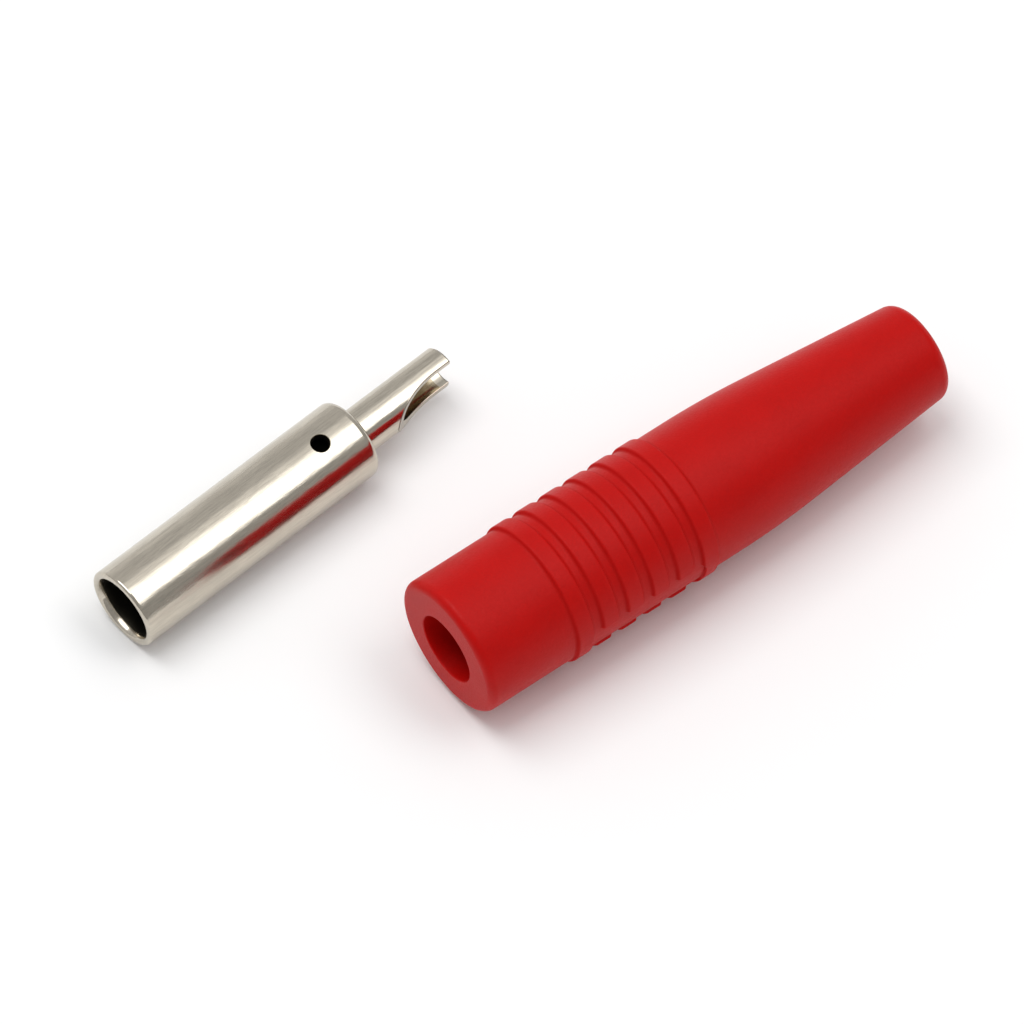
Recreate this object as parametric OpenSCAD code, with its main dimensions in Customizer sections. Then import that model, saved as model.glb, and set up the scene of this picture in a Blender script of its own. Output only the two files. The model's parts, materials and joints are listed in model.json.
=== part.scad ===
// In-line banana socket taken apart: a turned contact tube lying beside its moulded sleeve.
// Millimetres, +Z up. Both pieces lie on z = 0, the sleeve along X with its front towards -X,
// and the origin is under the middle of the pair.

/* [Contact tube] */
// Bore that takes the pin of a plug
bore_d = 4; // [3.8:0.05:4.6]
// Wall of the tube around the bore
tube_wall = 0.575; // [0.45:0.025:0.9]
// Length of the tube from its mouth to its shoulder
tube_len = 17.95; // [15:0.05:20]
// Metal left between the end of the straight bore and the shoulder
bore_floor = 2.1; // [1.5:0.1:3]
// Width of the lead-in cone at the mouth of the bore
lead_w = 0.15; // [0.05:0.05:0.25]
// Depth of the lead-in cone
lead_len = 0.4; // [0.1:0.05:1]
// Rounding of the outer edge at the mouth
mouth_round = 0.2; // [0.05:0.05:0.25]
// Rounding of the outer edge at the shoulder
shoulder_round = 0.45; // [0.05:0.05:0.5]
// Diameter of the vent hole near the end of the bore
vent_d = 1.15; // [0.6:0.05:1.6]
// Distance from the vent hole back to the end of the straight bore
vent_setback = 0.7; // [0:0.1:2]
// Lean of the vent hole towards the open side of the solder cup
vent_lean = 6; // [0:0.5:15]

/* [Solder tail] */
// Diameter of the tail
tail_d = 2.9; // [2.4:0.05:3.4]
// Length of the tail behind the shoulder
tail_len = 7.25; // [6.5:0.05:9]
// Wall of the solder cup
cup_wall = 0.35; // [0.25:0.05:0.5]
// Metal left between the shoulder and the end of the straight cup bore
cup_floor = 2.05; // [1.5:0.05:3]
// Height of the milled opening above the axis of the tail
scoop_rise = 0.5; // [0.2:0.05:0.8]
// Straight length of the milled opening, up to the end of the tail
scoop_flat = 1.15; // [0.5:0.05:2]
// Radius of the cutter, left as the run-out of the opening
cutter_r = 7.5; // [3:0.25:10]
// Chamfer round the end of the tail
tail_chamfer = 0.1; // [0.05:0.05:0.2]

/* [Sleeve] */
// Gap between the contact tube and its chamber, all round
chamber_clear = 0.1; // [0.05:0.05:0.2]
// Wall of the sleeve around the chamber
sleeve_wall = 1.675; // [1.4:0.025:2.2]
// Length of the lip that holds the contact in at the front
lip_len = 2; // [0.8:0.1:3]
// Gap between the pin of a plug and the hole in the lip, all round
pin_clear = 0.2; // [0.1:0.05:0.3]
// Spare length of the chamber behind the shoulder
chamber_spare = 0.2; // [0.1:0.05:0.5]
// Straight wall between the end of the chamber and the start of the taper
rear_land = 1.15; // [1:0.05:4]
// Length of the taper
taper_len = 13.5; // [11:0.1:16]
// Gap between the tail and the cable bore, all round
tail_clear = 0.4; // [0.2:0.05:0.6]
// Wall at the cable end
rear_wall = 1.285; // [1:0.005:1.7]
// Rounding of the front edge
front_round = 0.5; // [0.2:0.05:0.9]
// Rounding of the cable end
rear_round = 0.75; // [0.2:0.05:0.8]
// Radius of the blend from the cylinder into the taper
blend_r = 60; // [10:1:80]
// Chamfer at the mouth of the cable bore
cable_chamfer = 0.2; // [0.1:0.05:0.25]

/* [Grip rings] */
// Number of raised rings
ring_count = 6; // [3:1:8]
// Distance of the first ring from the front face
ring_start = 6.08; // [4:0.02:7]
// Spacing of the rings
ring_pitch = 1.82; // [1.6:0.01:2]
// Width of a ring at its foot
ring_w = 1.3; // [0.8:0.05:1.4]
// Height of a ring above the cylinder
ring_h = 0.18; // [0.1:0.01:0.4]
// How far the side of a ring leans in from its foot
ring_lean = 0.14; // [0:0.01:0.2]
// Rounding of the edges of a ring
ring_round = 0.15; // [0.05:0.01:0.3]

/* [Plain field] */
// Width of the plain field that crosses the rings
field_w = 2.65; // [1.5:0.05:4]
// Reach of the field into the last ring
field_reach = 0.25; // [0.2:0.05:0.8]
// Corner radius of the field
field_corner = 0.5; // [0.2:0.05:0.7]
// Turn of the field below the horizontal
field_turn = 15; // [0:1:30]

/* [Layout] */
// Gap between the two pieces, across the sleeve
lay_gap = 7.42; // [3:0.01:15]
// Distance of the mouth of the contact ahead of the front of the sleeve
lay_lead = 12.6; // [0:0.1:15]
// Turn of the contact on the surface, away from the sleeve at its tail
contact_turn = 5.4; // [0:0.1:10]
// Roll of the contact about its own axis
contact_roll = 3; // [0:0.5:10]

/* [Hidden] */
$fn = 96;
blend_fn = 768;
drill_angle = 118;
overcut = 1;
root_depth = 0.4;

// Contact: radii and stations along its axis, measured from the mouth
bore_r = bore_d / 2;
tube_r = bore_r + tube_wall;
tail_r = tail_d / 2;
cup_r = tail_r - cup_wall;
contact_len = tube_len + tail_len;
bore_end = tube_len - bore_floor;
vent_at = bore_end - vent_setback;
cup_end = tube_len + cup_floor;
scoop_at = contact_len - scoop_flat;

// Sleeve: radii and stations along its axis, measured from the front face
lip_r = bore_r + pin_clear;
chamber_r = tube_r + chamber_clear;
cable_r = tail_r + tail_clear;
base_r = chamber_r + sleeve_wall;
ring_r = base_r + ring_h;
rear_r = cable_r + rear_wall;
chamber_end = lip_len + tube_len + chamber_spare;
taper_at = chamber_end + rear_land;
sleeve_len = taper_at + taper_len;
ring_edge = min(ring_round, ring_h, ring_w / 2);
ring_side = norm([ring_h, ring_lean]);
ring_edge_at = ((ring_h - ring_edge) * ring_lean + ring_edge * ring_side) / ring_h;
ring_root = base_r - root_depth;
field_from = ring_start + ring_w;
field_len = (ring_count - 1) * ring_pitch - ring_w + field_reach;

// Taper: its angle, the tangent points of the blend, and the rounded cable end
taper_angle = atan((base_r - rear_r) / taper_len);
blend_reach = blend_r * tan(taper_angle / 2);
blend_from = [base_r, taper_at - blend_reach];
blend_to = [base_r - blend_reach * sin(taper_angle), taper_at + blend_reach * cos(taper_angle)];
end_round_z = sleeve_len - rear_round;
end_round_r = base_r - (end_round_z - taper_at) * tan(taper_angle) - rear_round / cos(taper_angle);
end_round_from = [end_round_r + rear_round * cos(taper_angle), end_round_z + rear_round * sin(taper_angle)];

// Layout: the sleeve's front face is at x = 0 and its axis at y = 0 before the pair is centred
mouth_x = -lay_lead;
mouth_y = ring_r + lay_gap + tube_r;
pair_min_x = mouth_x + mouth_round * (cos(contact_turn) - 1)
    - (tube_r - mouth_round) * sin(contact_turn);
pair_max_x = sleeve_len;
pair_min_y = -ring_r;
pair_max_y = mouth_y + (tube_len - shoulder_round) * sin(contact_turn)
    + (tube_r - shoulder_round) * cos(contact_turn) + shoulder_round;
pair_middle = [(pair_min_x + pair_max_x) / 2, (pair_min_y + pair_max_y) / 2, 0];

// Half section of the turned contact, radius across and station up
module contact_section() {
    difference() {
        union() {
            polygon([
                [0, 0], [tube_r - mouth_round, 0], [tube_r, mouth_round],
                [tube_r, tube_len - shoulder_round], [tube_r - shoulder_round, tube_len],
                [tail_r, tube_len], [tail_r, contact_len - tail_chamfer],
                [tail_r - tail_chamfer, contact_len], [0, contact_len],
            ]);
            translate([tube_r - mouth_round, mouth_round]) circle(mouth_round);
            translate([tube_r - shoulder_round, tube_len - shoulder_round]) circle(shoulder_round);
        }
        polygon([
            [0, -overcut], [bore_r + lead_w * (1 + overcut / lead_len), -overcut], [bore_r, lead_len],
            [bore_r, bore_end], [0, bore_end + bore_r / tan(drill_angle / 2)],
        ]);
        polygon([
            [0, contact_len + overcut], [cup_r, contact_len + overcut],
            [cup_r, cup_end], [0, cup_end - cup_r / tan(drill_angle / 2)],
        ]);
    }
}

// Disc cutter that opens the solder cup from the side, run out to its own radius
module scoop_cutter() {
    cut_w = tail_d + 2 * overcut;
    translate([0, -scoop_rise - cutter_r, scoop_at])
        rotate([0, 90, 0])
            cylinder(r = cutter_r, h = cut_w, center = true);
    translate([-cut_w / 2, -scoop_rise - cutter_r, scoop_at])
        cube([cut_w, cutter_r, scoop_flat + overcut]);
}

// Contact standing on its mouth: vent towards -X, solder cup open towards -Y
module contact_upright() {
    difference() {
        rotate_extrude() contact_section();
        translate([0, 0, vent_at])
            rotate([0, -90, vent_lean])
                cylinder(d = vent_d, h = tube_r + overcut);
        scoop_cutter();
    }
}

// Half section of the sleeve's body without its rings
module sleeve_section() {
    difference() {
        union() {
            polygon([
                [0, 0], [base_r - front_round, 0], [base_r, front_round],
                blend_from, blend_to, end_round_from, [end_round_r, sleeve_len], [0, sleeve_len],
            ]);
            translate([base_r - front_round, front_round]) circle(front_round);
            translate([end_round_r, end_round_z]) circle(rear_round);
            intersection() {
                translate([base_r - blend_r, blend_from[1]]) circle(blend_r, $fn = blend_fn);
                translate([chamber_r, blend_from[1]])
                    square([base_r - chamber_r, blend_to[1] - blend_from[1]]);
            }
        }
        polygon([
            [0, -overcut], [lip_r, -overcut], [lip_r, lip_len], [chamber_r, lip_len],
            [chamber_r, chamber_end], [cable_r, chamber_end], [cable_r, sleeve_len - cable_chamfer],
            [cable_r + cable_chamfer + overcut, sleeve_len + overcut], [0, sleeve_len + overcut],
        ]);
    }
}

// Section of one ring, rooted in the wall, with leaning sides that run into rounded edges
module ring_section() {
    touch_r = ring_r - ring_edge + ring_edge * ring_lean / ring_side;
    touch_z = ring_edge_at - ring_edge * ring_h / ring_side;
    polygon([
        [ring_root, 0], [base_r, 0], [touch_r, touch_z], [ring_r, ring_edge_at],
        [ring_r, ring_w - ring_edge_at], [touch_r, ring_w - touch_z], [base_r, ring_w], [ring_root, ring_w],
    ]);
    for (z = [ring_edge_at, ring_w - ring_edge_at])
        translate([ring_r - ring_edge, z]) circle(ring_edge);
}

// Outline of the plain field: a rectangle with round corners, centred across
module field_outline() {
    side = field_w / 2 - field_corner;
    translate([-side, 0]) square([2 * side, field_len]);
    translate([-field_w / 2, field_corner]) square([field_w, field_len - 2 * field_corner]);
    for (x = [-side, side], y = [field_corner, field_len - field_corner])
        translate([x, y]) circle(field_corner);
}

// Raised rings, cleared away across the plain field on the -Y side
module grip_rings() {
    difference() {
        for (i = [0 : ring_count - 1])
            rotate_extrude()
                translate([0, ring_start + i * ring_pitch]) ring_section();
        translate([0, 0, field_from])
            rotate([90, 0, 0])
                linear_extrude(ring_r + overcut) field_outline();
    }
}

// Sleeve standing on its front face
module sleeve_upright() {
    rotate_extrude() sleeve_section();
    grip_rings();
}

// Contact lying on its tube, turned and rolled as it came to rest
module socket_contact() {
    color([0.80, 0.78, 0.74])
        translate([mouth_x, mouth_y, tube_r] - pair_middle)
            rotate([0, 0, contact_turn])
                rotate([contact_roll, 0, 0])
                    rotate([0, 90, 0])
                        contact_upright();
}

// Sleeve lying on its rings
module insulating_sleeve() {
    color([0.72, 0.07, 0.06])
        translate([0, 0, ring_r] - pair_middle)
            rotate([field_turn, 0, 0])
                rotate([0, 90, 0])
                    sleeve_upright();
}

socket_contact();
insulating_sleeve();
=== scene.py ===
"""In-line banana socket taken apart: a bright turned contact lies beside its soft red sleeve.

Both pieces are worked out as smooth surfaces in the frame of the packed part, in metres.
A piece is first made along +X with its axis on X, and is then rolled, turned and moved to its place.
"""

import json
import math
from typing import NamedTuple

import bmesh
import bpy
import numpy as np
from bpy.props import FloatProperty, FloatVectorProperty, PointerProperty
from mathutils import Matrix, Vector


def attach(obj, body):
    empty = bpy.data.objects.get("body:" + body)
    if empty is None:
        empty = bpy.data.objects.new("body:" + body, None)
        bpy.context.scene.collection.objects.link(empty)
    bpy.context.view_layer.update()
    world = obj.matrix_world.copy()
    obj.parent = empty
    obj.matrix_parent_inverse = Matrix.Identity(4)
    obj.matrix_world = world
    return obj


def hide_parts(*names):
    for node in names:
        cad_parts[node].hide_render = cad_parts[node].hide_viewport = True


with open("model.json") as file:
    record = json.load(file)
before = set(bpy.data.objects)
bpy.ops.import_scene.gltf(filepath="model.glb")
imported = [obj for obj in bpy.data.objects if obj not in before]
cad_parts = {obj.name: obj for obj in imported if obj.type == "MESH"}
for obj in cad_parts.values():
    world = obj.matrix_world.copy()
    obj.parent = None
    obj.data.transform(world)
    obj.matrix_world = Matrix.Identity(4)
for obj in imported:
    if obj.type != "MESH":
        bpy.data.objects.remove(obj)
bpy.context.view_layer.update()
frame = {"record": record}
mounts = {mount["name"]: mount for mount in frame["record"]["mounts"]}

bl_info = {
    "name": "In-line Banana Socket",
    "version": (1, 0, 0),
    "blender": (4, 5, 0),
    "location": "View3D > Sidebar > Socket",
    "description": "Builds an in-line banana socket, its finishes and a small studio",
    "category": "Add Mesh",
}


class Patch(NamedTuple):
    """Points of a surface on a grid, and how its cells are used.

    The columns may close on themselves, and a window of cells may be left out. The painted shade is one
    value, or one for each cell. On the contact it darkens the bore, the vent and the cup as painted shade
    and marks the cut edges with a painted dark reflection. On the sleeve it is the share of a ring's side,
    which is painted deeper red as shade and made more matt.
    """

    points: np.ndarray
    closed: bool = True
    window: tuple | None = None
    painted_shade: float | np.ndarray = 0.0


class Pose(NamedTuple):
    """Where a piece lies: its roll about its own axis, its turn about Z, and the place of its front end."""

    roll: float
    turn: float
    origin: Vector


class Pattern(NamedTuple):
    """A noise pattern: its scales along and across a piece's axis, its detail and its roughness."""

    scale: tuple
    detail: float
    rough: float


class Softbox(NamedTuple):
    """A softbox: the way to it, the line that its first side follows, and its two sides in metres."""

    way: tuple
    line: tuple
    sides: tuple


MM = 0.001
MERGE_GAP = 0.0002 * MM
SHARP_ANGLE = math.radians(28)
DRILL_ANGLE = math.radians(118)

# Columns and rows of the contact's grids.
CONTACT_COLUMNS = 192
MOUTH_ROWS = 40
WINDOW_CELLS = 24
SHOULDER_ROWS = 8
BORE_END_ROWS = 3
TIP_ROWS = 8
TAIL_ROWS = 16
CUP_ROWS = 8
CUT_ROWS = 17
FLAT_ROWS = 9
CHAMFER_ROWS = 3

# Straight runs beside a rounded edge and behind the rounded root of the tail, in radii.
EDGE_RUN = 2
ROOT_RUN = 4

# Half the length of the window round the vent, in vent radii, and how far it stops before the bore's end.
WINDOW_REACH = 1.75
WINDOW_STOP = 0.05 * MM

# Places across one half of the cut face, close together at its edge, and the cells of its outer edge, which
# carry a painted dark reflection.
FACE_SPREAD = np.array([0, 0.02, 0.06, 0.12, 0.22, 0.36, 0.5])
EDGE_CELLS = 3

# Painted shade on the contact's inner and cut surfaces, from clean plating at 0 to near black at 1: shade in
# the bore, the vent and the cup, and dark reflections on the cut edges.
BORE_PAINTED_SHADE = 1.0
VENT_PAINTED_SHADE = 0.8
CUP_PAINTED_SHADE = 0.35
EDGE_PAINTED_REFLECTION = 0.75

# The sleeve's rings and the plain field across them, with rows and columns set close along its edges.
RING_COUNT = 6
RING_RUN = 0.3 * MM
RING_STEPS = 6
FRONT_STEPS = 12
REAR_STEPS = 14
FIELD_SIDE = math.pi
FIELD_NEAR = math.radians(4.5)
FIELD_COLUMNS = (8, 23, 76)
FIELD_END_ROWS = 13
FIELD_END_REACH = 1.5

# Patterns of the plating, the spans of noise over which they set in, and their depths.
DULLING = Pattern((260, 420, 420), 4.0, 0.6)
STREAKS = Pattern((800, 8000, 8000), 3.0, 0.65)
DRAWING = Pattern((900, 7000, 7000), 3.0, 0.6)
TURNING = Pattern((9000, 60, 60), 3.0, 0.6)
WAVES = Pattern((700, 2600, 2600), 2.0, 0.5)
DULL_COLOUR_SPAN = (0.45, 0.75)
DULL_ROUGH_SPAN = (0.3, 0.75)
STREAK_SPAN = (0.42, 0.66)
SCRATCH_SPAN = (0.6, 0.75)
NICKEL_ROUGH = (0.14, 0.22)
PAINTED_SHADE_ROUGH = 0.25
WAVE_DEPTH = 0.016 * MM
TURNING_DEPTH = 0.0015 * MM
STREAK_DEPTH = 0.005 * MM
SCRATCH_DEPTH = 0.003 * MM
NICKEL_RELIEF = 0.5

# Patterns of the soft sleeve, and their shares of the deep red.
MOTTLES = Pattern((350, 500, 500), 4.0, 0.6)
GRAIN = Pattern((6500, 6500, 6500), 3.0, 0.65)
TONE_SPAN = (0.35, 0.65)
MOTTLE_TONE = 0.4
GRAIN_TONE = 0.6
GRAIN_ROUGH_SPAN = (0.3, 0.7)
PVC_ROUGH = (0.38, 0.48)
RING_SIDE_ROUGH = 0.4
GRAIN_DEPTH = 0.02 * MM
GRAIN_RELIEF = 0.7

# Colour sockets of the Mix node, which has several sockets of the same name.
MIX_A = 6
MIX_B = 7
MIX_COLOUR = 2

# The studio. A ramp across the strip light runs from one place to another, and from one share to another.
LAMP_DISTANCE = 0.5
STRIP = Softbox((0.388, -0.125, 0.913), (0.09, -0.98, -0.17), (0.75, 0.2))
STRIP_WING = (0.0, 0.14, 0.0, 0.17)
STRIP_BODY = (0.25, 0.52, 0.0, 0.83)
STRIP_FALL = (0.80, 0.97, 1.0, 0.0)
SIDE = Softbox((-0.15, 0.25, 0.955), (1, 0, 0), (0.21, 0.39))
ROOM_SPAN = (-0.5, 0.5)
HORIZON_SPAN = (0.88, 0.95)
WHITE = (1.0, 1.0, 1.0)
FLOOR_HALF = 10.0
SENSOR_WIDTH = 36.0
CLIP_NEAR = 0.01
CLIP_FAR = 40.0


def length(name, description, millimetres):
    """A length property, with its default given in millimetres."""
    return FloatProperty(name=name, description=description, default=millimetres * MM,
                         min=0.0, unit="LENGTH", precision=5)


def offset(name, description, millimetres):
    """A length property that may be negative, with its default given in millimetres."""
    return FloatProperty(name=name, description=description, default=millimetres * MM,
                         unit="LENGTH", precision=5)


def angle(name, description, degrees):
    """An angle property, with its default given in degrees."""
    return FloatProperty(name=name, description=description, default=math.radians(degrees), unit="ROTATION")


def colour(name, description, rgb):
    """A linear colour property."""
    return FloatVectorProperty(name=name, description=description, default=rgb, size=3,
                               min=0.0, max=1.0, subtype="COLOR")


def brightness(name, description, default, high):
    """A radiance property, from zero up to a limit."""
    return FloatProperty(name=name, description=description, default=default, min=0.0, max=high, precision=3)


class ContactSizes(bpy.types.PropertyGroup):
    """Sizes of the turned contact."""

    bore_d: length("Bore", "Diameter of the bore that takes a plug's pin", 4.0)
    tube_wall: length("Tube wall", "Wall of the tube around the bore", 0.575)
    tube_len: length("Tube length", "Length from the mouth to the shoulder", 17.95)
    bore_floor: length("Bore floor", "Metal between the straight bore and the shoulder", 2.1)
    lead_w: length("Lead-in width", "Width of the cone at the mouth", 0.15)
    lead_len: length("Lead-in depth", "Depth of the cone at the mouth", 0.4)
    lead_round: length("Lead-in rounding", "Rounding between the cone and the mouth's face", 0.18)
    mouth_round: length("Mouth rounding", "Rounding of the outer edge at the mouth", 0.2)
    shoulder_round: length("Shoulder rounding", "Rounding of the outer edge at the shoulder", 0.45)
    vent_d: length("Vent", "Diameter of the vent hole", 1.15)
    vent_setback: length("Vent setback", "Distance of the vent from the end of the straight bore", 0.7)
    vent_lean: angle("Vent lean", "Lean of the vent towards the open side of the cup", 6)
    tail_d: length("Tail", "Diameter of the solder tail", 2.9)
    tail_len: length("Tail length", "Length of the tail behind the shoulder", 7.25)
    cup_wall: length("Cup wall", "Wall of the solder cup", 0.35)
    cup_floor: length("Cup floor", "Metal between the shoulder and the straight cup bore", 2.05)
    scoop_rise: length("Opening height", "Distance of the milled opening from the tail's axis", 0.5)
    scoop_flat: length("Opening length", "Straight length of the milled opening", 1.15)
    cutter_r: length("Cutter radius", "Radius that the cutter left as the opening's run-out", 7.5)
    tail_chamfer: length("Tail chamfer", "Chamfer round the end of the tail", 0.1)
    # Over this depth at the cup's open end, where light reaches in, the lining is left out of the painted
    # shade.
    bright_end: length("Bright end", "Depth of bright plating at the open end of the cup", 0.65)
    edge_break: length("Edge break", "Tiny rounding that plating leaves on a cut edge", 0.04)
    root_round: length("Root rounding", "Rounding where the tail meets the shoulder", 0.08)
    roll: angle("Roll", "Roll of the contact about its own axis", 3)


class SleeveSizes(bpy.types.PropertyGroup):
    """Sizes of the moulded sleeve."""

    lip_r: length("Front hole radius", "Radius of the hole in the front face", 2.2)
    lip_len: length("Lip length", "Length of the lip behind the front face", 2.0)
    chamber_r: length("Chamber radius", "Radius of the chamber that holds the contact", 2.675)
    chamber_end: length("Chamber end", "Distance of the chamber's end from the front face", 20.15)
    cable_r: length("Cable bore radius", "Radius of the bore for the cable", 1.85)
    cable_chamfer: length("Cable chamfer", "Chamfer at the mouth of the cable bore", 0.2)
    base_r: length("Grip radius", "Radius of the cylinder under the rings", 4.35)
    rear_r: length("Cable end radius", "Radius that the taper runs down to", 3.135)
    taper_at: length("Taper start", "Distance of the taper from the front face", 21.3)
    sleeve_len: length("Sleeve length", "Length of the sleeve", 34.8)
    blend_r: length("Blend radius", "Radius of the blend from the cylinder into the taper", 60)
    front_round: length("Front rounding", "Rounding of the front edge", 0.5)
    rear_round: length("Cable end rounding", "Rounding of the cable end", 0.75)
    hole_round: length("Hole rounding", "Rounding of the edges of the holes", 0.08)
    ring_start: length("First ring", "Distance of the first ring from the front face", 6.08)
    ring_pitch: length("Ring spacing", "Spacing of the rings", 1.82)
    ring_w: length("Ring width", "Width of a ring at its foot", 1.3)
    ring_h: length("Ring height", "Height of a ring above the cylinder", 0.18)
    ring_round: length("Ring rounding", "Rounding of the edges of a ring", 0.19)
    ring_lean: length("Ring lean", "How far the side of a ring leans in from its foot", 0.14)
    ring_foot: length("Ring foot", "Rounding at the foot of a ring", 0.22)
    field_w: length("Field width", "Width of the plain field across the rings", 2.65)
    field_reach: length("Field reach", "Reach of the field into the last ring", 0.25)
    field_corner: length("Field corner", "Corner radius of the field", 0.5)
    field_edge: length("Field edge", "Width of the step where a ring ends at the field", 0.07)
    field_turn: angle("Field turn", "Turn of the field below the horizontal", 15)


class SocketFinishes(bpy.types.PropertyGroup):
    """Colours of the finishes."""

    nickel: colour("Nickel", "Reflection colour of the plating", (0.60, 0.548, 0.46))
    nickel_drawn: colour("Drawn nickel", "Reflection colour in the fine streaks along the tube",
                         (0.50, 0.457, 0.385))
    nickel_dull: colour("Dull nickel", "Reflection colour where the plating is dull", (0.52, 0.472, 0.395))
    # Brown painted shade in the solder cup.
    nickel_cup_shade: colour("Brown nickel", "Reflection colour of the thin plating in the cup",
                         (0.37, 0.315, 0.225))
    # Near black painted shade in the bore and the vent, and painted dark reflections on the cut edges.
    painted_shade: colour("Tarnish", "Reflection colour of the dark skin inside the bore", (0.05, 0.045, 0.035))
    red: colour("Red", "Colour of the soft sleeve", (0.50, 0.0028, 0.0018))
    # Also the colour of the painted shade on the rings' sides.
    red_deep: colour("Deep red", "Colour in the sleeve's darker mottles", (0.44, 0.0024, 0.0014))
    floor: colour("Floor", "Colour of the floor", (0.94, 0.94, 0.94))


class StudioSettings(bpy.types.PropertyGroup):
    """Camera and light of the studio."""

    azimuth: angle("Azimuth", "Turn of the camera round the part", -37.17)
    elevation: angle("Elevation", "Height of the camera above the horizon", 56.32)
    distance: length("Distance", "Distance of the camera from the point it looks at", 480)
    look_x: offset("Look X", "Point looked at, along X", -0.42949)
    look_y: offset("Look Y", "Point looked at, along Y", 0.56507)
    lens: FloatProperty(name="Lens", description="Focal length on a 36 mm sensor", default=287.55,
                        unit="CAMERA")
    strip: brightness("Strip light", "Brightest radiance of the strip over the part", 2.6, 20.0)
    side: brightness("Side light", "Radiance of the softbox behind the part", 4.35, 20.0)
    room_far: brightness("Far room", "Radiance of the room behind the part", 0.62, 4.0)
    horizon: brightness("Horizon", "Further radiance of the room low down behind the part", 0.18, 4.0)
    room_near: brightness("Near room", "Radiance of the room in front of the part", 0.42, 4.0)


def fillet_path(corners, radii, steps=7, support=0.02 * MM):
    """Line through corners, each rounded to its radius r by an arc of steps points.

    At a corner that turns by t, the arc runs between two points r * tan(t / 2) from the corner,
    and a support point is set just before and just after it, which keeps the shading of the straights flat.
    """
    corners = np.asarray(corners, float)
    parts = [corners[:1]]
    for before, here, after, radius in zip(corners, corners[1:], corners[2:], radii):
        into = (here - before) / np.linalg.norm(here - before)
        out = (after - here) / np.linalg.norm(after - here)
        cross = into[0] * out[1] - into[1] * out[0]
        turn = math.atan2(abs(cross), float(into @ out))
        inward = math.copysign(1, cross) * np.array([-into[1], into[0]])
        reach = radius * math.tan(turn / 2)
        start = here - into * reach
        swing = np.linspace(0, turn, steps)[:, None]
        arc = start + radius * (inward * (1 - np.cos(swing)) + into * np.sin(swing))
        parts += [[start - into * support], arc, [here + out * (reach + support)]]
    parts.append(corners[-1:])
    return np.concatenate(parts)


def polar(along, radius, turn):
    """Points at a station on X, a radius and an angle: along, radius * cos(turn), radius * sin(turn)."""
    return np.stack(np.broadcast_arrays(along, radius * np.cos(turn), radius * np.sin(turn)), axis=-1)


def revolve(path, angles):
    """Surface of revolution about X of a path of stations and radii."""
    return polar(path[:, :1], path[:, 1:], angles)


def stations(radius, *runs):
    """Rows of a cylinder: straight runs of (from, to, rows) laid end to end at one radius."""
    along = np.concatenate([np.linspace(*run) for run in runs])
    return np.stack([along, np.full(len(along), radius)], axis=-1)


def drill_point(at, radius, way):
    """Path of the cone that a drill leaves, from its rim to its tip radius / tan(angle / 2) away."""
    tip = at + way * radius / math.tan(DRILL_ANGLE / 2)
    return np.linspace((at, radius), (tip, 0), TIP_ROWS)


def quads(rows, columns, closed, window):
    """Corner numbers of a grid's cells, and whether each cell is kept.

    The last column is joined to the first where the grid is closed. The cells of a window are left out,
    given as (row from, row to, column from, column to).
    """
    index = np.arange(rows * columns).reshape(rows, columns)
    if closed:
        index = np.concatenate([index, index[:, :1]], axis=1)
    cells = np.stack([index[:-1, :-1], index[:-1, 1:], index[1:, 1:], index[1:, :-1]], axis=-1)
    keep = np.ones(cells.shape[:2], bool)
    if window:
        keep[window[0]:window[1], window[2]:window[3]] = False
    return cells, keep


def place(points, pose):
    """Rolls points about X, turns them about Z and moves them to the pose's origin."""
    spin = Matrix.Rotation(pose.turn, 3, "Z") @ Matrix.Rotation(pose.roll, 3, "X")
    return points @ np.array(spin).T + np.asarray(pose.origin)


def skin(name, patches, pose):
    """Joins patches into one closed mesh object, and keeps their painted shade as an attribute of its faces.
    """
    points = []
    faces = []
    painted_shade = []
    count = 0
    for patch in patches:
        rows, columns = patch.points.shape[:2]
        cells, keep = quads(rows, columns, patch.closed, patch.window)
        points.append(patch.points.reshape(-1, 3))
        faces.append(cells[keep] + count)
        painted_shade.append(np.broadcast_to(patch.painted_shade, keep.shape)[keep])
        count += rows * columns
    mesh = bpy.data.meshes.new(name)
    mesh.from_pydata(place(np.concatenate(points), pose), [], np.concatenate(faces).tolist())
    # Painted shade of each face, which the materials turn into darker colour.
    layer = mesh.attributes.new("painted_shade", "FLOAT", "FACE")
    layer.data.foreach_set("value", np.concatenate(painted_shade))
    form = bmesh.new()
    form.from_mesh(mesh)
    bmesh.ops.remove_doubles(form, verts=form.verts, dist=MERGE_GAP)
    bmesh.ops.dissolve_degenerate(form, edges=form.edges, dist=MERGE_GAP)
    bmesh.ops.recalc_face_normals(form, faces=form.faces)
    form.to_mesh(mesh)
    open_edges = sum(not edge.is_manifold for edge in form.edges)
    form.free()
    if open_edges:
        raise RuntimeError(f"{name} has {open_edges} open edges")
    mesh.shade_smooth()
    mesh.set_sharp_from_angle(angle=SHARP_ANGLE)
    piece = bpy.data.objects.new(name, mesh)
    bpy.context.scene.collection.objects.link(piece)
    return piece


def window_border(rows, angles, first):
    """Stations and angles of the grid points round a window, in order, from its first corner."""
    side = angles[first:first + WINDOW_CELLS + 1]
    along = np.concatenate([np.full(WINDOW_CELLS, rows[0]), rows[:-1],
                            np.full(WINDOW_CELLS, rows[-1]), rows[:0:-1]])
    around = np.concatenate([side[:-1], np.full(WINDOW_CELLS, side[-1]),
                             side[:0:-1], np.full(WINDOW_CELLS, side[0])])
    return along, around


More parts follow.
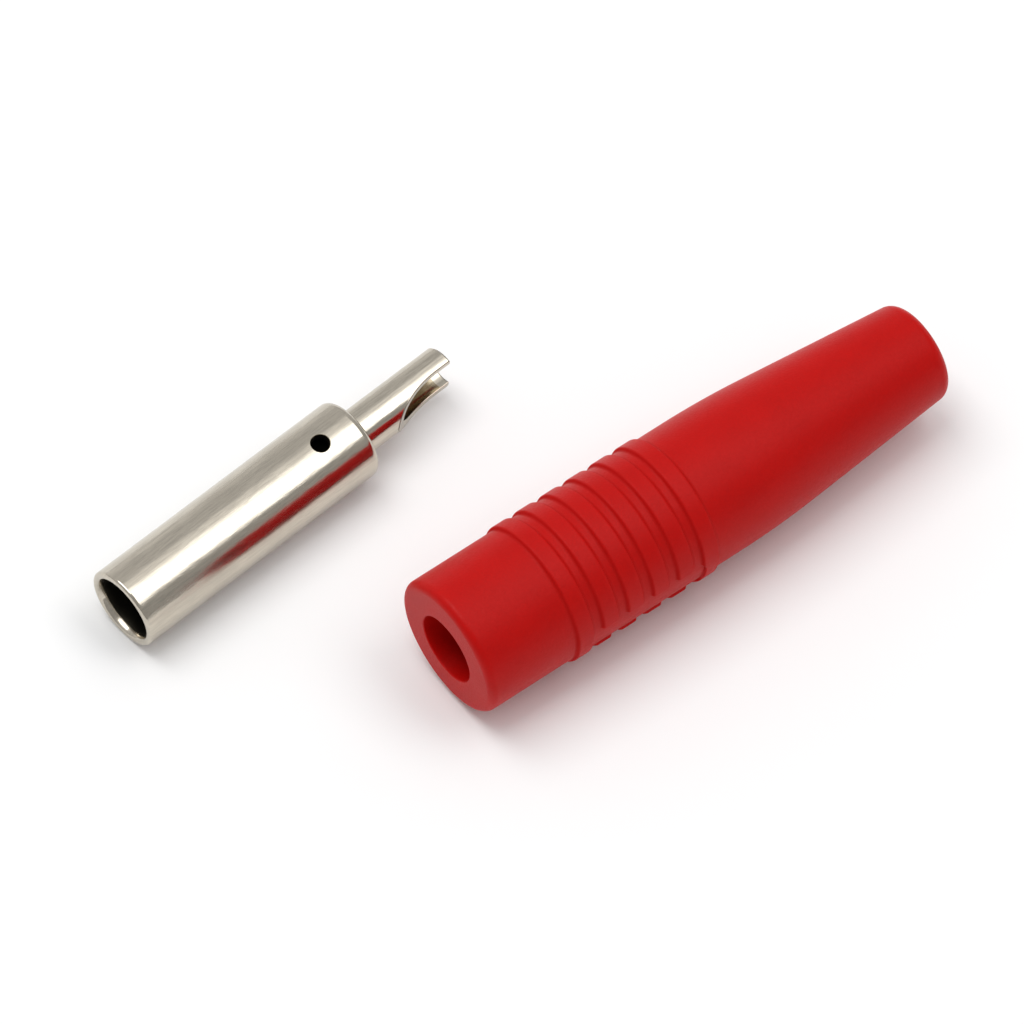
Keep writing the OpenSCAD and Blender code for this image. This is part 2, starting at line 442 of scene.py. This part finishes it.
def holed_window(radius, at, lean, hole_r, border, swing, steps=10, crowding=1.4):
    """Ring of quads from a drilled hole to the border of its window in a tube wall.

    In the plane square to the drill, a point is the hole's edge hole_r * (cos, sin)(swing) mixed with the
    border by v ** crowding, for v from 0 to 1. Its angle on the tube is lean + asin(offset across / radius).
    """
    along, around = border
    edge = np.stack([along - at, radius * np.sin(around - lean)], axis=-1)
    hole = hole_r * np.stack([np.cos(swing), np.sin(swing)], axis=-1)
    mix = (np.linspace(0, 1, steps) ** crowding)[:, None, None]
    flat = hole * (1 - mix) + edge * mix
    return polar(at + flat[..., 0], radius, lean + np.arcsin(flat[..., 1] / radius))


def drilled_wall(at, lean, hole_r, edge, outer_r, inner_r, swing, steps=5):
    """Wall of a drilled hole between two tube radii, with its outer edge broken by a quarter round.

    Its loops have radius hole_r + edge * (1 - sin b) and lie edge * (1 - cos b) below the outer wall.
    """
    bend = np.linspace(0, math.pi / 2, steps)
    size = np.append(hole_r + edge * (1 - np.sin(bend)), hole_r)[:, None]
    across = size * np.sin(swing)
    sunk = (edge * (1 - np.cos(bend)))[:, None]
    high = np.concatenate([np.sqrt(outer_r ** 2 - across[:-1] ** 2) - sunk,
                           np.sqrt(inner_r ** 2 - across[-1:] ** 2)])
    return np.stack([at + size * np.cos(swing), high * math.cos(lean) - across * math.sin(lean),
                     high * math.sin(lean) + across * math.cos(lean)], axis=-1)


def cut_arc(along, radius, limit, columns):
    """Part of a wall with a radius at each station: its angle runs from -limit to +limit of that station."""
    turn = np.linspace(-1, 1, columns + 1) * limit[:, None]
    return polar(along[:, None], radius[:, None], turn)


def quarter_round(distance, radius):
    """Drop of a rounded edge at a distance from it.

    It is radius - sqrt(radius^2 - (radius - distance)^2), and none from one radius on.
    """
    near = np.clip(radius - distance, 0, radius)
    return radius - np.sqrt(radius ** 2 - near ** 2)


def tube_patches(c, around):
    """Grids of the tube along +X from its mouth.

    They are the lead-in, the shoulder, the outside and the bore, each with a window for the vent, the vent's
    surroundings in both, the vent's wall, and the drill point at the bore's end.
    """
    bore_r = c.bore_d / 2
    tube_r = bore_r + c.tube_wall
    tail_r = c.tail_d / 2
    vent_r = c.vent_d / 2
    bore_end = c.tube_len - c.bore_floor
    vent_at = bore_end - c.vent_setback
    lean = math.pi / 2 + c.vent_lean
    lead = fillet_path(
        [(c.lead_len, bore_r), (0, bore_r + c.lead_w), (0, tube_r), (EDGE_RUN * c.mouth_round, tube_r)],
        [c.lead_round, c.mouth_round])
    shoulder = fillet_path(
        [(c.tube_len - EDGE_RUN * c.shoulder_round, tube_r), (c.tube_len, tube_r), (c.tube_len, tail_r),
         (c.tube_len + ROOT_RUN * c.root_round, tail_r)],
        [c.shoulder_round, c.root_round])

    half = WINDOW_REACH * vent_r
    first = round((lean + math.pi) / (2 * math.pi) * len(around)) - WINDOW_CELLS // 2
    window = (MOUTH_ROWS, MOUTH_ROWS + WINDOW_CELLS, first, first + WINDOW_CELLS)
    outer_rows = np.linspace(vent_at - half, vent_at + half, WINDOW_CELLS + 1)
    inner_rows = np.linspace(vent_at - half, bore_end - WINDOW_STOP, WINDOW_CELLS + 1)
    outer_border = window_border(outer_rows, around, first)
    inner_border = window_border(inner_rows, around, first)
    swing = np.arctan2(tube_r * np.sin(outer_border[1] - lean), outer_border[0] - vent_at)
    tube = stations(
        tube_r,
        (lead[-1, 0], outer_rows[0], MOUTH_ROWS),
        (outer_rows[0], outer_rows[-1], WINDOW_CELLS + 1),
        (outer_rows[-1], shoulder[0, 0], SHOULDER_ROWS))
    bore = stations(
        bore_r,
        (lead[0, 0], inner_rows[0], MOUTH_ROWS),
        (inner_rows[0], inner_rows[-1], WINDOW_CELLS + 1),
        (inner_rows[-1], bore_end, BORE_END_ROWS))
    vent_wall = drilled_wall(vent_at, lean, vent_r, c.edge_break, tube_r, bore_r, swing)
    return [
        Patch(revolve(lead, around)),
        Patch(revolve(shoulder, around)),
        Patch(revolve(tube, around), window=window),
        # The bore, its part round the vent, the vent's wall and the drill point are painted dark as shade.
        Patch(revolve(bore, around), window=window, painted_shade=BORE_PAINTED_SHADE),
        Patch(holed_window(tube_r, vent_at, lean, vent_r + c.edge_break, outer_border, swing)),
        Patch(holed_window(bore_r, vent_at, lean, vent_r, inner_border, swing), painted_shade=BORE_PAINTED_SHADE),
        Patch(vent_wall, painted_shade=VENT_PAINTED_SHADE),
        Patch(revolve(drill_point(bore_end, bore_r, 1), around), painted_shade=BORE_PAINTED_SHADE),
    ]


def tail_patches(c, around):
    """Grids of the tail behind the shoulder, with the drilled cup that a disc cutter opened from the side.

    The cut lies at y = -hub + sqrt(cutter_r^2 - (s - scoop_at)^2) up to the disc's lowest point and is level
    behind it. Both walls stop one edge break above the cut, and the cut face is rounded up to them.
    The chamfer, the last row of the lining and the outer edge of the cut face carry a painted dark
    reflection, and the cup carries painted shade short of its open end.
    """
    columns = len(around)
    tail_r = c.tail_d / 2
    cup_r = tail_r - c.cup_wall
    edge = c.edge_break
    total = c.tube_len + c.tail_len
    chamfer_at = total - c.tail_chamfer
    cup_end = c.tube_len + c.cup_floor
    scoop_at = total - c.scoop_flat
    hub = c.scoop_rise + c.cutter_r
    scoop_from, cup_from = (
        scoop_at - math.sqrt(c.cutter_r ** 2 - (hub - wall_r - edge) ** 2) for wall_r in (tail_r, cup_r))
    ease = np.linspace(0, 1, CUT_ROWS) ** 2
    to_cup = scoop_from + (cup_from - scoop_from) * ease
    to_end = np.concatenate([
        cup_from + (scoop_at - cup_from) * ease,
        np.linspace(scoop_at, chamfer_at, FLAT_ROWS)[1:],
        np.linspace(chamfer_at, total, CHAMFER_ROWS)[1:]])
    along = np.concatenate([to_cup, to_end[1:]])
    cut = -hub + np.sqrt(c.cutter_r ** 2 - np.minimum(along - scoop_at, 0) ** 2)
    outer = tail_r - np.maximum(along - chamfer_at, 0)
    outer_limit = np.arccos(np.clip((cut + edge) / outer, -1, 1))
    cup_limit = np.arccos(np.clip((cut + edge) / cup_r, -1, 1))

    wide = outer * np.sin(outer_limit)
    inside = cup_r * np.sin(cup_limit)
    inside[:CUT_ROWS] = 0
    inner_edge = np.full(len(along), edge)
    inner_edge[:CUT_ROWS] = edge * np.clip(np.linspace(-1, 1, CUT_ROWS), 0, 1)
    spread = np.concatenate([FACE_SPREAD, 1 - FACE_SPREAD[-2::-1]])
    across = inside[:, None] + (wide - inside)[:, None] * spread
    high = (cut[:, None] + quarter_round(wide[:, None] - across, edge)
            + quarter_round(across - inside[:, None], inner_edge[:, None]))
    face = np.stack([np.broadcast_to(along[:, None], across.shape), high, across], axis=-1)
    rim = np.hypot(high[-1], across[-1])
    end = cut_arc(np.full(len(rim), total), rim, np.arctan2(across[-1], high[-1]), columns)

    wall = cut_arc(along, outer, outer_limit, columns)
    lining = cut_arc(to_end, np.full(len(to_end), cup_r), cup_limit[CUT_ROWS - 1:], columns)
    bright = np.searchsorted(to_end, total - c.bright_end)
    tail = stations(tail_r, (c.tube_len + ROOT_RUN * c.root_round, scoop_from, TAIL_ROWS))
    cup = stations(cup_r, (cup_end, cup_from, CUP_ROWS))
    sides = ((1, 1, 1), (1, 1, -1))
    return [
        Patch(revolve(tail, around)),
        # The cup, its drill point and the lining short of the open end carry painted shade. The chamfer, the
        # lining's last row and the cut face's outer edge carry a painted dark reflection.
        Patch(revolve(cup, around), painted_shade=CUP_PAINTED_SHADE),
        Patch(revolve(drill_point(cup_end, cup_r, -1), around), painted_shade=CUP_PAINTED_SHADE),
        Patch(wall[:1 - CHAMFER_ROWS], closed=False),
        Patch(wall[-CHAMFER_ROWS:], closed=False, painted_shade=EDGE_PAINTED_REFLECTION),
        Patch(lining[:bright + 1], closed=False, painted_shade=CUP_PAINTED_SHADE),
        Patch(lining[bright:-1], closed=False),
        Patch(lining[-2:], closed=False, painted_shade=EDGE_PAINTED_REFLECTION),
        *(Patch(face[:, :-EDGE_CELLS] * side, closed=False) for side in sides),
        *(Patch(face[:, -EDGE_CELLS - 1:] * side, closed=False, painted_shade=EDGE_PAINTED_REFLECTION) for side in sides),
        Patch(end, closed=False),
    ]


def contact_patches(c):
    """Grids of the turned contact along +X from its mouth."""
    around = np.linspace(-math.pi, math.pi, CONTACT_COLUMNS, endpoint=False)
    return tube_patches(c, around) + tail_patches(c, around)


def field_span(z):
    """Stations where the plain field begins, behind the first ring, and where it ends, inside the last."""
    last_ring = z.ring_start + (RING_COUNT - 1) * z.ring_pitch
    return z.ring_start + z.ring_w, last_ring + z.field_reach


def field_mask(along, across, z):
    """Share of a ring's height that is left: none in the plain field, and all outside it.

    It is a smooth step over the signed distance to the field's outline, a rectangle with round corners. The
    distance is measured to the rectangle shrunk by the corner radius, less that radius.
    """
    field_from, field_to = field_span(z)
    half = (field_to - field_from) / 2
    aside = np.abs(along - (field_from + field_to) / 2) - (half - z.field_corner)
    over = np.abs(across) - (z.field_w / 2 - z.field_corner)
    far = np.hypot(np.maximum(aside, 0), np.maximum(over, 0)) + np.minimum(np.maximum(aside, over), 0)
    step = np.clip((far - z.field_corner) / z.field_edge + 0.5, 0, 1)
    return step * step * (3 - 2 * step)


def ring_rows(z):
    """Stations and heights of the ring band, with further rows along the end of the plain field.

    The side of a ring leans in, and is rounded at its foot and at its edge.
    """
    parts = []
    for i in range(RING_COUNT):
        front = z.ring_start + i * z.ring_pitch
        back = front + z.ring_w
        corners = [(front - RING_RUN, 0), (front, 0), (front + z.ring_lean, z.ring_h),
                   (back - z.ring_lean, z.ring_h), (back, 0), (back + RING_RUN, 0)]
        radii = [z.ring_foot, z.ring_round, z.ring_round, z.ring_foot]
        parts.append(fillet_path(corners, radii, RING_STEPS))
    rows = np.concatenate(parts)
    field_to = field_span(z)[1]
    extra = field_to + np.linspace(-FIELD_END_REACH, FIELD_END_REACH, FIELD_END_ROWS) * z.field_edge
    along = np.unique(np.concatenate([rows[:, 0], extra]))
    return along, np.interp(along, rows[:, 0], rows[:, 1])


def field_angles(z):
    """Angles round the sleeve from the middle of the field, set close together along its two edges."""
    edge = math.asin(z.field_w / 2 / z.base_r)
    within, beside, beyond = FIELD_COLUMNS
    side = np.concatenate([
        np.linspace(0, edge - FIELD_NEAR, within)[:-1],
        np.linspace(edge - FIELD_NEAR, edge + FIELD_NEAR, beside)[:-1],
        np.linspace(edge + FIELD_NEAR, math.pi, beyond)])
    return np.concatenate([-side[:0:-1], side[:-1]])


def sleeve_patches(z):
    """Grids of the sleeve along +X from its front face.

    They are the front with the wall of its hole, the ringed band, and the taper with the cable bore, the
    chamber and the back of the lip. The band's radius is base_r + height * mask, and its painted shade is
    the slope of the ring's side, up to 1, which darkens the ring's sides as shade.
    """
    angles = field_angles(z)
    around = angles + FIELD_SIDE
    along, height = ring_rows(z)
    across = np.where(np.abs(angles) < math.pi / 2, z.base_r * np.sin(angles), z.base_r)
    mask = field_mask(along[:, None], across, z)
    slope = np.clip(np.abs(np.diff(height) / np.diff(along)), 0, 1)
    rings = polar(along[:, None], z.base_r + height[:, None] * mask, around)
    front = fillet_path(
        [(z.lip_len, z.lip_r), (0, z.lip_r), (0, z.base_r), (along[0], z.base_r)],
        [z.hole_round, z.front_round], FRONT_STEPS)
    rear = fillet_path(
        [(along[-1], z.base_r), (z.taper_at, z.base_r), (z.sleeve_len, z.rear_r),
         (z.sleeve_len, z.cable_r + z.cable_chamfer), (z.sleeve_len - z.cable_chamfer, z.cable_r),
         (z.chamber_end, z.cable_r), (z.chamber_end, z.chamber_r), (z.lip_len, z.chamber_r),
         (z.lip_len, z.lip_r)],
        [z.blend_r, z.rear_round, z.hole_round, z.hole_round, z.hole_round, z.hole_round, z.hole_round],
        REAR_STEPS)
    return [
        Patch(revolve(front, around)),
        # The slope of each ring's side is kept as painted shade.
        Patch(rings, painted_shade=slope[:, None] * mask[1:]),
        Patch(revolve(rear, around)),
    ]


class NodeBoard:
    """Short calls that add and join the shader nodes of a material, a lamp or a world."""

    def __init__(self, owner):
        self.owner = owner
        owner.use_nodes = True
        self.tree = owner.node_tree
        self.shader = next(
            node for node in self.tree.nodes if node.outputs and node.outputs[0].type == "SHADER")

    def give(self, node, inputs):
        """Sets a node's inputs, found by name or number, to values, or joins them to other sockets."""
        for key, value in inputs.items():
            if isinstance(value, bpy.types.NodeSocket):
                self.tree.links.new(value, node.inputs[key])
            else:
                node.inputs[key].default_value = value

    def add(self, kind, settings, inputs):
        """A node of a kind, with its settings and its inputs."""
        node = self.tree.nodes.new("ShaderNode" + kind)
        for key, value in settings.items():
            setattr(node, key, value)
        self.give(node, inputs)
        return node

    def ramp(self, value, low, high, to_low=0.0, to_high=1.0, kind="LINEAR"):
        """A value carried from one range to another, and held there."""
        settings = {"clamp": True, "interpolation_type": kind}
        inputs = {"Value": value, "From Min": low, "From Max": high, "To Min": to_low, "To Max": to_high}
        return self.add("MapRange", settings, inputs).outputs["Result"]

    def maths(self, kind, a, b):
        """A sum, a product and the like of two values."""
        return self.add("Math", {"operation": kind}, {0: a, 1: b}).outputs[0]

    def blend(self, fac, a, b):
        """A colour between a and b."""
        return self.add("Mix", {"data_type": "RGBA"}, {0: fac, MIX_A: a, MIX_B: b}).outputs[MIX_COLOUR]

    def coordinates(self, kind):
        """Texture coordinates of a kind."""
        return self.add("TexCoord", {}, {}).outputs[kind]

    def part_of(self, vector, axis):
        """One part of a vector."""
        return self.add("SeparateXYZ", {}, {"Vector": vector}).outputs[axis]

    def pattern(self, pattern, pose):
        """A noise pattern on object coordinates that are brought back to the piece's own axis."""
        own = self.add("Mapping", {"vector_type": "TEXTURE"}, {
            "Vector": self.coordinates("Object"),
            "Location": pose.origin,
            "Rotation": (pose.roll, 0, pose.turn),
        })
        scaled = self.add("Mapping", {"vector_type": "POINT"}, {
            "Vector": own.outputs[0],
            "Scale": pattern.scale,
        })
        noise = self.add("TexNoise", {}, {
            "Vector": scaled.outputs[0],
            "Scale": 1.0,
            "Detail": pattern.detail,
            "Roughness": pattern.rough,
        })
        return noise.outputs["Fac"]

    def painted_shade(self):
        """The painted shade of a face."""
        return self.add("Attribute", {"attribute_name": "painted_shade"}, {}).outputs["Fac"]

    def bump(self, height, depth, relief, under=None):
        """Normals of a height pattern, on top of other normals where they are given."""
        inputs = {"Height": height, "Distance": depth, "Strength": relief}
        if under:
            inputs["Normal"] = under
        return self.add("Bump", {}, inputs).outputs["Normal"]


def four(rgb):
    """A colour with full alpha."""
    return (*rgb, 1.0)


def nickel_plate(finishes, pose):
    """Bright nickel over a turned surface, with dull patches and fine streaks.

    Painted shade turns it brown in the cup and near black in the bore and the vent, and paints dark
    reflections on the cut edges. Soft waves, turning rings, streaks and short scratches along the
    axis give its relief.
    """
    board = NodeBoard(bpy.data.materials.new("nickel_plate"))
    painted_shade = board.painted_shade()
    dull = board.pattern(DULLING, pose)
    streaks = board.pattern(STREAKS, pose)
    scratch = board.ramp(board.pattern(DRAWING, pose), *SCRATCH_SPAN)
    dulled = board.ramp(dull, *DULL_COLOUR_SPAN)
    plate = board.blend(dulled, four(finishes.nickel), four(finishes.nickel_dull))
    plate = board.blend(board.ramp(streaks, *STREAK_SPAN), plate, four(finishes.nickel_drawn))
    # Painted shade: brown in the cup, then near black in the bore and the vent and on the cut edges.
    plate = board.blend(board.ramp(painted_shade, 0.0, CUP_PAINTED_SHADE), plate, four(finishes.nickel_cup_shade))
    plate = board.blend(board.ramp(painted_shade, CUP_PAINTED_SHADE, 1.0), plate, four(finishes.painted_shade))
    rough = board.ramp(dull, *DULL_ROUGH_SPAN, *NICKEL_ROUGH)
    rough = board.maths("ADD", rough, board.ramp(painted_shade, CUP_PAINTED_SHADE, 1.0, 0.0, PAINTED_SHADE_ROUGH))
    normal = board.bump(board.pattern(WAVES, pose), WAVE_DEPTH, NICKEL_RELIEF)
    normal = board.bump(board.pattern(TURNING, pose), TURNING_DEPTH, NICKEL_RELIEF, normal)
    normal = board.bump(streaks, STREAK_DEPTH, NICKEL_RELIEF, normal)
    normal = board.bump(scratch, SCRATCH_DEPTH, NICKEL_RELIEF, normal)
    board.give(board.shader, {
        "Base Color": plate,
        "Roughness": rough,
        "Normal": normal,
        "Metallic": 1.0,
    })
    return board.owner


def red_pvc(finishes, origin):
    """Soft red PVC: faint mottles, a fine matt grain from the mould, and ring sides that are more matt and
    painted deeper red as shade.
    """
    board = NodeBoard(bpy.data.materials.new("red_pvc"))
    level = Pose(0.0, 0.0, origin)
    ring_side = board.painted_shade()
    grain = board.pattern(GRAIN, level)
    mottle = board.ramp(board.pattern(MOTTLES, level), *TONE_SPAN, 0.0, MOTTLE_TONE)
    tone = board.maths("ADD", mottle, board.ramp(grain, *TONE_SPAN, 0.0, GRAIN_TONE))
    # The ring sides are painted deeper red as shade, on top of the random mottles and grain.
    deep = board.maths("ADD", tone, ring_side)
    rough = board.ramp(grain, *GRAIN_ROUGH_SPAN, *PVC_ROUGH)
    rough = board.maths("ADD", rough, board.ramp(ring_side, 0.0, 1.0, 0.0, RING_SIDE_ROUGH))
    board.give(board.shader, {
        "Base Color": board.blend(deep, four(finishes.red), four(finishes.red_deep)),
        "Roughness": rough,
        "Normal": board.bump(grain, GRAIN_DEPTH, GRAIN_RELIEF),
        "Specular IOR Level": 0.12,
        "Subsurface Weight": 0.3,
        "Subsurface Scale": 1.0 * MM,
        "Subsurface Radius": (1.0, 0.08, 0.05),
    })
    return board.owner


def white_floor(finishes):
    """Plain white board."""
    board = NodeBoard(bpy.data.materials.new("white_floor"))
    board.give(board.shader, {
        "Base Color": four(finishes.floor),
        "Roughness": 0.9,
        "Specular IOR Level": 0.1,
    })
    return board.owner


def dress(piece, node, material):
    """Gives a piece its finish and lets it stand for its node of the packed part."""
    piece.data.materials.append(material)
    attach(piece, "root")
    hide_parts(node)


def facing(back, right, origin):
    """World matrix of a lamp or camera at origin, which looks against back and has its own X along right."""
    turn = Matrix((right, back.cross(right), back)).transposed()
    return Matrix.Translation(origin) @ turn.to_4x4()


class SOCKET_OT_contact(bpy.types.Operator):
    """Builds the turned contact with its vent, shoulder and milled solder cup."""

    bl_idname = "socket.contact"
    bl_label = "Turned Contact"

    def execute(self, context):
        scene = context.scene
        sizes = scene.socket_contact
        mount = mounts["plug_bore"]
        out = Vector(mount["axis"])
        mouth = Vector(mount["pos_m"]) + out * sizes.lead_len
        pose = Pose(sizes.roll, math.atan2(-out.y, -out.x), mouth)
        piece = skin("contact", contact_patches(sizes), pose)
        dress(piece, "socket_contact", nickel_plate(scene.socket_finishes, pose))
        return {"FINISHED"}


class SOCKET_OT_sleeve(bpy.types.Operator):
    """Builds the moulded sleeve with its ringed grip, plain field and taper."""

    bl_idname = "socket.sleeve"
    bl_label = "Moulded Sleeve"

    def execute(self, context):
        scene = context.scene
        sizes = scene.socket_sleeve
        front = Vector(mounts["plug_entry"]["pos_m"])
        piece = skin("sleeve", sleeve_patches(sizes), Pose(sizes.field_turn, 0.0, front))
        dress(piece, "insulating_sleeve", red_pvc(scene.socket_finishes, front))
        return {"FINISHED"}


class SOCKET_OT_studio(bpy.types.Operator):
    """Sets the floor, the light and the camera."""

    bl_idname = "socket.studio"
    bl_label = "Studio"

    def execute(self, context):
        scene = context.scene
        settings = scene.socket_studio
        self.floor(scene)
        self.lamps(scene, settings)
        self.room(scene, settings)
        self.camera(scene, settings)
        scene.view_settings.view_transform = "Standard"
        return {"FINISHED"}

    def floor(self, scene):
        """A wide plain floor at z = 0."""
        mesh = bpy.data.meshes.new("floor")
        corners = np.array([(-1, -1, 0), (1, -1, 0), (1, 1, 0), (-1, 1, 0)], float) * FLOOR_HALF
        mesh.from_pydata(corners, [], [(0, 1, 2, 3)])
        mesh.materials.append(white_floor(scene.socket_finishes))
        floor = bpy.data.objects.new("floor", mesh)
        scene.collection.objects.link(floor)

    def softbox(self, scene, name, box, radiance):
        """A rectangular softbox that faces the part."""
        data = bpy.data.lights.new(name, "AREA")
        data.shape = "RECTANGLE"
        data.size, data.size_y = box.sides
        data.energy = radiance * math.pi * box.sides[0] * box.sides[1]
        lamp = bpy.data.objects.new(name, data)
        back = Vector(box.way).normalized()
        line = Vector(box.line)
        right = (line - back * back.dot(line)).normalized()
        lamp.matrix_world = facing(back, right, back * LAMP_DISTANCE)
        scene.collection.objects.link(lamp)
        return data

    def lamps(self, scene, settings):
        """A strip overhead that fades to both sides, and a softbox behind the part."""
        board = NodeBoard(self.softbox(scene, "strip", STRIP, settings.strip))
        spot = board.add("NewGeometry", {}, {}).outputs["Parametric"]
        across = board.part_of(spot, "X")
        wing, body, fall = (
            board.ramp(across, *span, "SMOOTHSTEP") for span in (STRIP_WING, STRIP_BODY, STRIP_FALL))
        strength = board.maths("MULTIPLY", board.maths("ADD", wing, body), fall)
        board.give(board.shader, {"Strength": strength})
        self.softbox(scene, "side", SIDE, settings.side)

    def room(self, scene, settings):
        """A grey room that is dimmer in front, with a glow low down behind the part."""
        board = NodeBoard(bpy.data.worlds.new("room"))
        way = board.part_of(board.coordinates("Generated"), "Y")
        level = board.ramp(way, *ROOM_SPAN, settings.room_near, settings.room_far, "SMOOTHSTEP")
        glow = board.ramp(way, *HORIZON_SPAN, 0.0, settings.horizon)
        board.give(board.shader, {"Strength": board.maths("ADD", level, glow), "Color": four(WHITE)})
        scene.world = board.owner

    def camera(self, scene, settings):
        """A long lens at the azimuth and elevation given, square to the horizon."""
        azimuth = settings.azimuth
        elevation = settings.elevation
        level = math.cos(elevation)
        back = Vector((math.sin(azimuth) * level, -math.cos(azimuth) * level, math.sin(elevation)))
        right = Vector((math.cos(azimuth), math.sin(azimuth), 0))
        look = Vector((settings.look_x, settings.look_y, 0))
        data = bpy.data.cameras.new("camera")
        data.lens = settings.lens
        data.sensor_width = SENSOR_WIDTH
        data.clip_start = CLIP_NEAR
        data.clip_end = CLIP_FAR
        camera = bpy.data.objects.new("camera", data)
        camera.matrix_world = facing(back, right, look + back * settings.distance)
        scene.collection.objects.link(camera)
        scene.camera = camera


class SOCKET_PT_parts(bpy.types.Panel):
    """Lists the pieces of the socket and its studio."""

    bl_label = "Banana Socket"
    bl_idname = "SOCKET_PT_parts"
    bl_space_type = "VIEW_3D"
    bl_region_type = "UI"
    bl_category = "Socket"

    def draw(self, context):
        for operator in OPERATORS:
            self.layout.operator(operator.bl_idname)
        for name, group in GROUPS.items():
            box = self.layout.box()
            box.label(text=group.__doc__)
            for key in group.__annotations__:
                box.prop(getattr(context.scene, name), key)


GROUPS = {
    "socket_contact": ContactSizes,
    "socket_sleeve": SleeveSizes,
    "socket_finishes": SocketFinishes,
    "socket_studio": StudioSettings,
}
OPERATORS = (SOCKET_OT_contact, SOCKET_OT_sleeve, SOCKET_OT_studio)
CLASSES = (*GROUPS.values(), *OPERATORS, SOCKET_PT_parts)


def register():
    """Registers the classes, and hangs their settings on the scene."""
    for item in CLASSES:
        bpy.utils.register_class(item)
    for name, group in GROUPS.items():
        setattr(bpy.types.Scene, name, PointerProperty(type=group))


def unregister():
    """Takes back what register did."""
    for name in GROUPS:
        delattr(bpy.types.Scene, name)
    for item in reversed(CLASSES):
        bpy.utils.unregister_class(item)


def main():
    """Registers the add-on, and builds the pieces and the studio."""
    register()
    bpy.ops.socket.contact()
    bpy.ops.socket.sleeve()
    bpy.ops.socket.studio()


if __name__ == "__main__":
    main()
